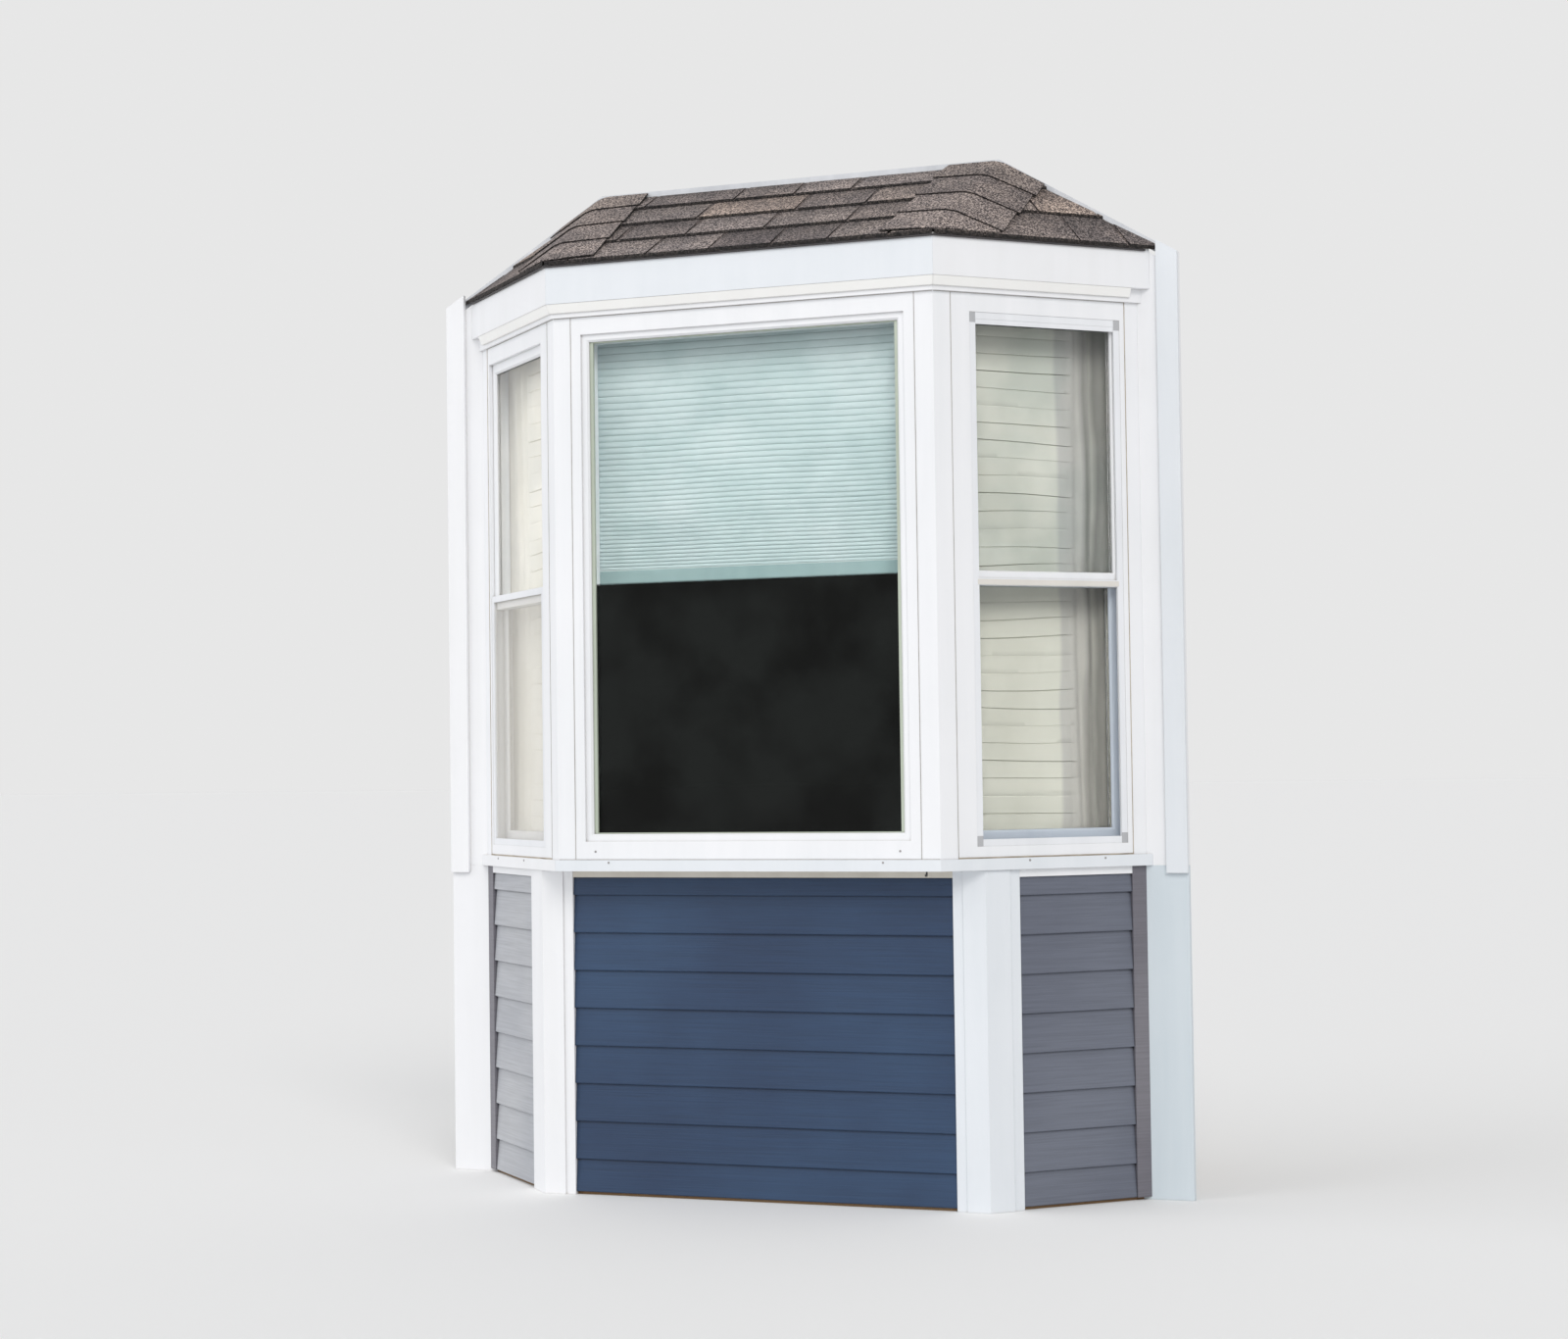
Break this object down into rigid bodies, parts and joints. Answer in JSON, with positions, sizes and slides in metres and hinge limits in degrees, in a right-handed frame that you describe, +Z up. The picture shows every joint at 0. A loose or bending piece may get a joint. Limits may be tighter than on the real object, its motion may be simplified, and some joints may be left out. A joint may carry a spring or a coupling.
{
  "type": "bay window",
  "caption": "Walk-up bay window: picture window between angled double-hung flankers, hip roof above, sided base to the ground.",
  "frame": {"origin": "on the ground, in the middle of the width and of the depth", "axes": "+X right along the house wall seen from outside, +Y into the wall, +Z up; the front faces -Y"},
  "size_m": [2.16, 0.483, 2.7856],
  "materials": {
    "white_trim": "satin white capping",
    "white_frame": "smooth white vinyl",
    "white_metal": "painted white",
    "screen_frame": "white enamel",
    "window_glass": "clear, glossy",
    "siding_blue": "embossed vinyl",
    "channel_grey": "satin vinyl",
    "shingle_brown": "mineral granules",
    "bare_wood": "planed softwood",
    "shade_cloth": "pleated, matte",
    "curtain_cloth": "sheer, soft folds"
  },
  "bodies": {
    "root": {"base_wall_front": "bare_wood", "centre_frame": "white_frame", "centre_glass": "window_glass", "channel_front": "white_trim", "fascia_front": "white_trim", "frieze_front": "white_trim", "head_board": "white_trim", "left_base_board": "white_trim", "left_base_corner_post": "white_trim", "left_base_wall": "bare_wood", "left_casing_board": "white_trim", "left_casing_strip": "white_trim", "left_corner_post": "white_frame", "left_curtain": "curtain_cloth", "left_end_channel": "channel_grey", "left_fascia": "white_trim", "left_frame": "white_frame", "left_frieze": "white_trim", "left_glass": "window_glass", "left_hip_caps": "shingle_brown", "left_lower_sash": "white_frame", "left_roof_deck": "bare_wood", "left_screen": "screen_frame", "left_seat_band": "white_trim", "left_shingles": "shingle_brown", "left_side_channel": "white_trim", "left_siding": "siding_blue", "left_upper_sash": "white_frame", "pleated_shade": "shade_cloth", "right_base_board": "white_trim", "right_base_corner_post": "white_trim", "right_base_wall": "bare_wood", "right_casing_board": "white_trim", "right_casing_strip": "white_trim", "right_corner_post": "white_frame", "right_curtain": "curtain_cloth", "right_end_channel": "channel_grey", "right_fascia": "white_trim", "right_frame": "white_frame", "right_frieze": "white_trim", "right_glass": "window_glass", "right_hip_caps": "shingle_brown", "right_lower_sash": "white_frame", "right_roof_deck": "bare_wood", "right_screen": "screen_frame", "right_seat_band": "white_trim", "right_shingles": "shingle_brown", "right_side_channel": "white_trim", "right_siding": "siding_blue", "right_upper_sash": "white_frame", "roof_deck_front": "bare_wood", "roof_ledger": "bare_wood", "roof_plate": "bare_wood", "roof_rafters": "bare_wood", "seat_band_front": "white_trim", "seat_board": "white_trim", "shingles_front": "shingle_brown", "siding_front": "siding_blue", "wall_flashing": "white_metal"}
  },
  "joints": []
}
